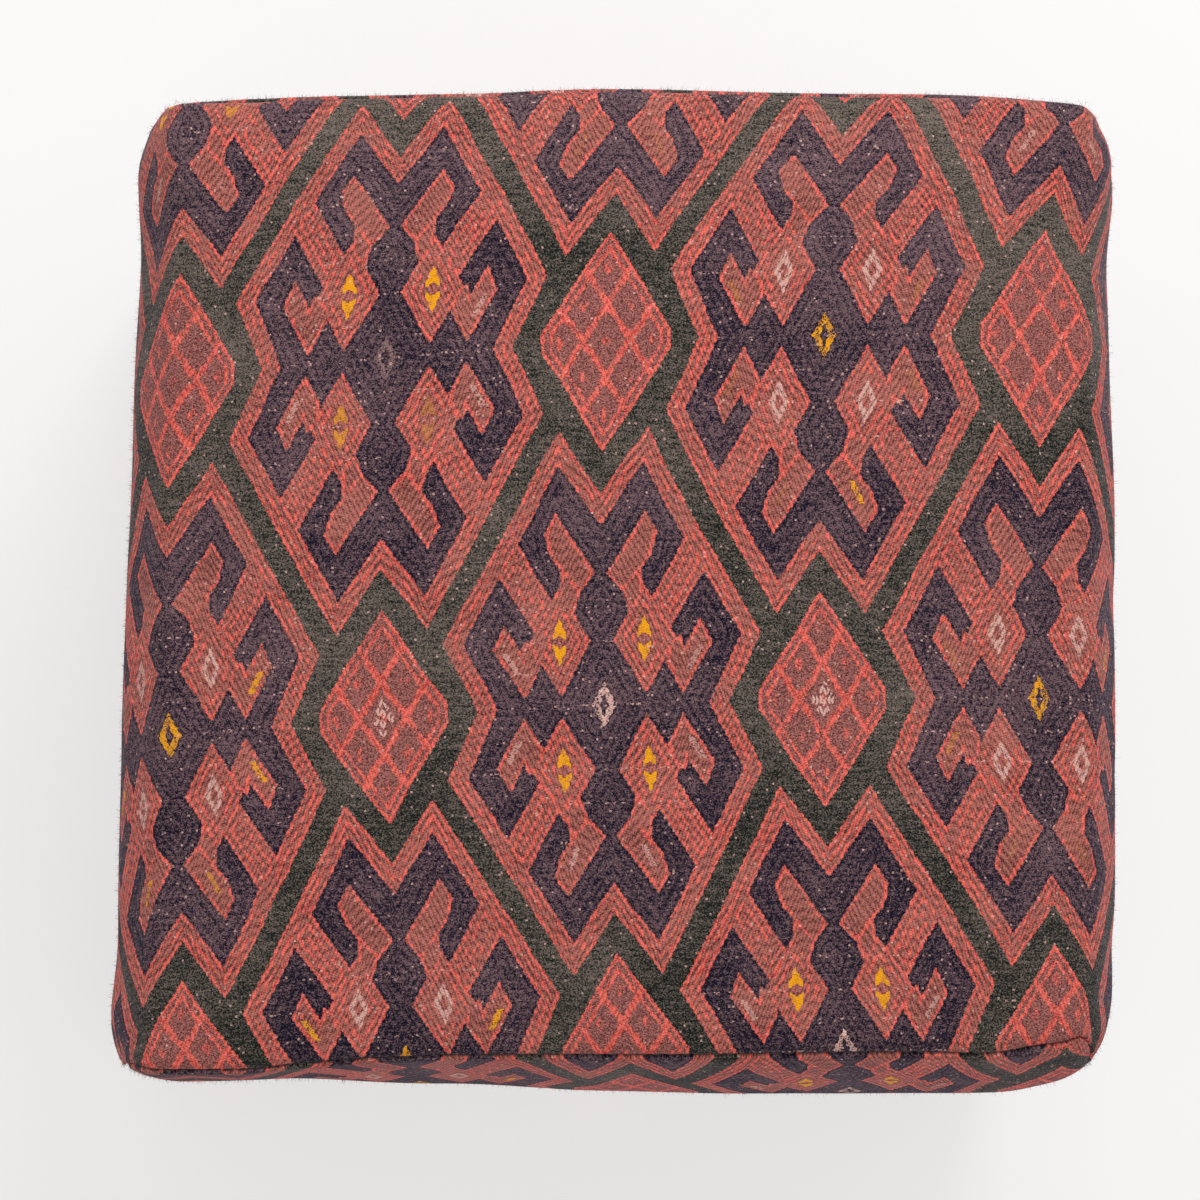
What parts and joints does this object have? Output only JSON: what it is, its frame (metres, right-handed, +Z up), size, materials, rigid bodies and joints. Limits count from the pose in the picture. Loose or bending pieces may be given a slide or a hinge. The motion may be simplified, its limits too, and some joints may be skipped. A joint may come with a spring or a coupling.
{
  "type": "floor pouf",
  "caption": "Soft cube floor pouf in patterned kilim cloth, with a removable cover zipped under the base over a wadded foam block; a low seat or footrest.",
  "frame": {"origin": "on the floor under the middle of the pouf", "axes": "+Z up, +X to the right, -Y is the front, the seam side shown at the bottom of the picture"},
  "size_m": [0.45, 0.45, 0.3999],
  "materials": {
    "kilim": "hand-woven wool kilim",
    "canvas": "doubled cotton canvas",
    "thread": "bonded thread",
    "zip_tape": "woven polyester",
    "zip_plastic": "moulded acetal",
    "zip_metal": "antique brass",
    "calico": "unbleached calico",
    "wadding": "polyester fibre wadding",
    "foam": "open-cell polyurethane foam"
  },
  "bodies": {
    "pouf": {"kilim_saddle": "kilim", "kilim_front": "kilim", "kilim_back": "kilim", "base_cloth_front": "canvas", "base_cloth_back": "canvas", "front_seam": "thread", "back_seam": "thread", "side_base_seams": "thread", "base_centre_seams": "thread", "zip_stitching": "thread", "zip_tape_front": "zip_tape", "zip_tape_back": "zip_tape", "zip_teeth_front": "zip_plastic", "zip_teeth_back": "zip_plastic", "zip_top_stops": "zip_plastic", "zip_bottom_stop": "zip_plastic", "liner_bag": "calico", "liner_base": "calico", "wadding_top": "wadding", "wadding_wrap": "wadding", "foam_top_slab": "foam", "foam_middle_slab": "foam", "foam_base_slab": "foam"},
    "zip_slider": {"zip_slider": "zip_metal"},
    "zip_pull": {"zip_pull": "zip_metal"}
  },
  "joints": [
    {"name": "zip_slide", "type": "slide", "parent": "pouf", "child": "zip_slider", "axis": [1, 0, 0], "range_m": [-0.311, 0], "deforming": ["zip_teeth_front", "zip_teeth_back"]},
    {"name": "pull_hinge", "type": "hinge", "parent": "zip_slider", "child": "zip_pull", "pos_m": [0.1554, 0, 0.00405], "axis": [0, -1, 0], "range_deg": [0, 120]}
  ]
}
